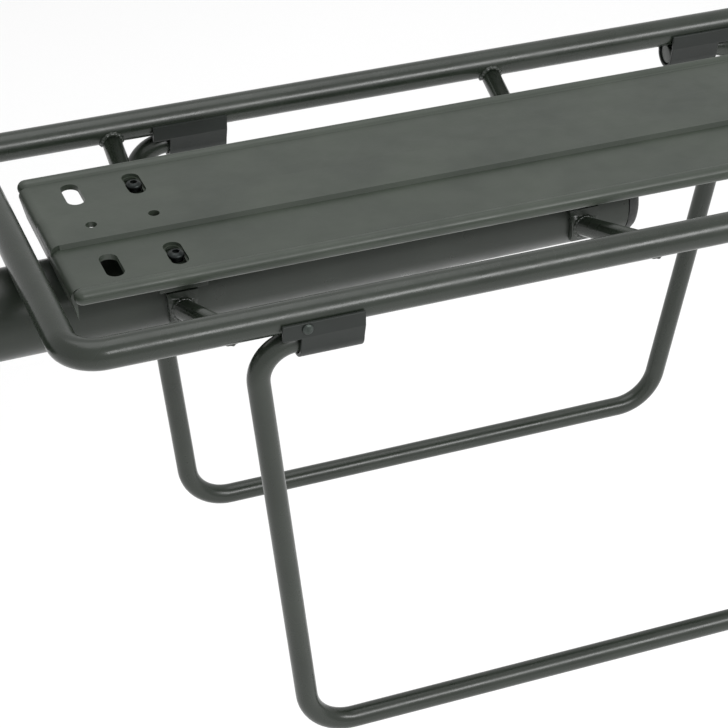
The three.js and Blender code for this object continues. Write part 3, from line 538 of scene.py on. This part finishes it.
def deck_pieces():
    deck = refined("deck_plate", "pressed_deck", DECK_PAINTED_LIGHT_COAT, 0.3, angle=38)
    shading = deck.modifiers.new("flat_panels", "WEIGHTED_NORMAL")
    shading.weight = 100
    shading.keep_sharp = True
    refined("deck_saddle", "saddle_bar", BEAM_PAINTED_SHADE_COAT, 0.4)
    refined("rear_cross_strap", "cross_strap", BEAM_PAINTED_SHADE_COAT, 0.4)


SCREW_HEAD_HEIGHT = 1.5 * MM
# (radius, height) in mm from under the head, from the shank's tip up to the socket's rim.
SCREW_PROFILE = [
    (0, -7),
    (1.7, -7),
    (2.0, -6.9),
    (2.0, 0),
    (2.75, 0),
    (2.75, 0.35),
    (2.68, 0.62),
    (2.45, 0.95),
    (2.1, 1.22),
    (1.7, 1.42),
    (1.5, 1.5),
]
SOCKET_HALF_WIDTH = 1.13 * MM  # across the flats
SOCKET_CHAMFER = 0.08 * MM
SOCKET_DEPTH = 0.95 * MM


def button_screw(end, side):
    """A button-head screw with a hex socket, in its slot in the deck."""
    node = f"deck_screw_{end}_{side}"
    low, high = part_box(node)
    place = Vector(((low.x + high.x) / 2, (low.y + high.y) / 2, high.z - SCREW_HEAD_HEIGHT))
    bm = turned(SCREW_PROFILE, place, Z_AXIS, sides=36)
    rim = [e for e in bm.edges if e.is_boundary]
    inner = extrude_ring(bm, rim, Vector((0, 0, 0)))
    # The socket: the rim's points drawn in to a six-sided outline, then sunk.
    for vert in {v for e in inner for v in e.verts}:
        offset = vert.co - place
        angle = math.atan2(offset.y, offset.x)
        from_flat = (angle % (math.pi / 3)) - math.pi / 6
        reach = SOCKET_HALF_WIDTH / math.cos(from_flat)
        height = offset.z - SOCKET_CHAMFER
        vert.co = place + Vector((math.cos(angle) * reach, math.sin(angle) * reach, height))
    floor = extrude_ring(bm, inner, Vector((0, 0, -SOCKET_DEPTH)))
    bmesh.ops.contextual_create(bm, geom=floor)
    name = f"button_screw_{end}_{side}"
    finish_mesh(name, bm, BLACK_STEEL, "carrier", 40, (node,))


# ---------- hinge brackets and rivets ----------


# A rivet's sizes, in mm.
RIVET_SHANK_RADIUS = 1.1
RIVET_SHANK_LENGTH = 4.1
RIVET_HEAD_RADIUS = 1.8
RIVET_HEAD_HEIGHT = 0.8
RIVET_RIM = 0.06


def rivet_profile():
    """(radius, height) in mm from the bracket's face, from the shank's end up over the dome."""
    steps = 7
    turns = [math.pi / 2 * i / steps for i in range(1, steps)]
    return [
        (0, -RIVET_SHANK_LENGTH),
        (RIVET_SHANK_RADIUS, -RIVET_SHANK_LENGTH),
        (RIVET_SHANK_RADIUS, 0),
        (RIVET_HEAD_RADIUS - RIVET_RIM, 0),
        (RIVET_HEAD_RADIUS, RIVET_RIM),
        *((RIVET_HEAD_RADIUS * math.cos(t), RIVET_HEAD_HEIGHT * math.sin(t)) for t in turns),
        (0, RIVET_HEAD_HEIGHT),
    ]


def bracket_and_rivet(end, side):
    sign = SIDES[side]
    bracket = f"hinge_bracket_{end}_{side}"
    name = f"folded_bracket_{end}_{side}"
    refined(bracket, name, BRACKET_PAINTED_SHADE_COAT, 0.28, angle=30)
    node = f"bracket_rivet_{end}_{side}"
    low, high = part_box(node)
    outer = high.y if sign > 0 else low.y
    face_y = outer - sign * RIVET_HEAD_HEIGHT * MM
    place = Vector(((low.x + high.x) / 2, face_y, (low.z + high.z) / 2))
    bm = turned(rivet_profile(), place, Vector((0, sign, 0)), sides=40)
    name = f"dome_rivet_{end}_{side}"
    finish_mesh(name, bm, DARKER_ZINC, "carrier", 40, (node,))


# ---------- beam, its cap and the clamp ----------


def beam_pieces():
    refined("beam_tube", "round_beam", BEAM_PAINTED_SHADE_COAT, 0.3, angle=40)
    refined("beam_end_cap", "rounded_cap", NYLON, 0, angle=44)


def clamp_pieces():
    refined("clamp_body", "cast_clamp_body", CAST_COAT, 0.6, angle=34, segments=3)
    refined("clamp_jaw", "cast_clamp_jaw", CAST_COAT, 0.6, angle=34, segments=3)
    refined("jaw_hinge_pin", "clamp_hinge_pin", BLACK_STEEL, 0.4, angle=40)
    refined("clamp_liner_rear", "rear_rubber_liner", RUBBER, 0.2, angle=40)
    refined("clamp_liner_front", "front_rubber_liner", RUBBER, 0.2, angle=40)
    refined("qr_bolt", "release_bolt", ZINC, 0.35, angle=40)
    refined("qr_adjusting_nut", "thumb_nut", BLACK_STEEL, 0.3, angle=34)
    refined("qr_lever_barrel", "lever_barrel", ZINC, 0.3, angle=40)
    refined("qr_lever", "cam_lever", CAST_COAT, 0.7, angle=30, segments=3)


perimeter_rod()
for side in SIDES:
    pannier_rod(side)
    for end in ENDS:
        strut_and_welds(end, side)
        button_screw(end, side)
        bracket_and_rivet(end, side)
deck_pieces()
beam_pieces()
clamp_pieces()


# ---------- studio ----------


# Lengths here are in metres, unless the name says mm.
FLOOR_SIZE = 6
FLOOR_DROP = 0.26  # below the carrier, which hangs from its post
ROOM_STRENGTH = 0.8
LIGHTS_AIM = (0.2, 0, 0)

LENS_MM = 114.48
SENSOR_MM = 36
CLIP_END = 20
CAMERA_RIGHT = (0.9362018, -0.35140111, -0.00659116)
CAMERA_UP = (0.19757976, 0.51069666, 0.83675036)
CAMERA_AHEAD = 0.175031  # of the corner of a frame's front leg
CAMERA_Y = -0.639673
CAMERA_RISE = 0.374387  # above the rails' axes


def studio_floor():
    """A wide matt paper sheet, well below the carrier."""
    bm = bmesh.new()
    bmesh.ops.create_grid(bm, x_segments=1, y_segments=1, size=FLOOR_SIZE)
    bmesh.ops.translate(bm, verts=bm.verts, vec=(0, 0, cad_low.z - FLOOR_DROP))
    mesh = bpy.data.meshes.new("studio_floor")
    bm.to_mesh(mesh)
    bm.free()
    material, tree, shader, place = new_material("matt_white_paper")
    colour = tint(tree, noise(tree, place, 400, 2), "#f6f6f6", "#fafafa")
    tree.links.new(colour, shader.inputs["Base Color"])
    shader.inputs["Roughness"].default_value = 0.9
    mesh.materials.append(material)
    floor = bpy.data.objects.new("studio_floor", mesh)
    bpy.context.scene.collection.objects.link(floor)


def soft_light(name, place, width, height, watts):
    data = bpy.data.lights.new(name, "AREA")
    data.shape = "RECTANGLE"
    data.size = width
    data.size_y = height
    data.energy = watts
    light = bpy.data.objects.new(name, data)
    light.location = place
    light.rotation_mode = "QUATERNION"
    heading = Vector(LIGHTS_AIM) - Vector(place)
    light.rotation_quaternion = heading.to_track_quat("-Z", "Y")
    bpy.context.scene.collection.objects.link(light)


def studio_world():
    world = bpy.data.worlds.new("white_room")
    world.use_nodes = True
    background = world.node_tree.nodes["Background"]
    background.inputs["Color"].default_value = (1, 1, 1, 1)
    background.inputs["Strength"].default_value = ROOM_STRENGTH
    bpy.context.scene.world = world


def studio_camera():
    data = bpy.data.cameras.new("studio_camera")
    data.lens = LENS_MM
    data.sensor_width = SENSOR_MM
    data.clip_end = CLIP_END
    camera = bpy.data.objects.new("studio_camera", data)
    right = Vector(CAMERA_RIGHT)
    up = Vector(CAMERA_UP)
    back = right.cross(up)
    turn = Matrix((right, up, back)).transposed().to_4x4()
    leg_corner_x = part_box("hinge_bracket_front_left")[0].x - BRACKET_OFFSET
    place = Vector((leg_corner_x - CAMERA_AHEAD, CAMERA_Y, RAIL_Z + CAMERA_RISE))
    camera.matrix_world = Matrix.Translation(place) @ turn
    bpy.context.scene.collection.objects.link(camera)
    bpy.context.scene.camera = camera


studio_floor()
studio_world()
soft_light("overhead_softbox", (0.2, 0.3, 1.7), width=1.4, height=1.4, watts=10)
soft_light("front_strip_light", (0.85, -1.3, 0.93), width=1.2, height=0.4, watts=15)
studio_camera()
bpy.context.scene.view_settings.view_transform = "Standard"
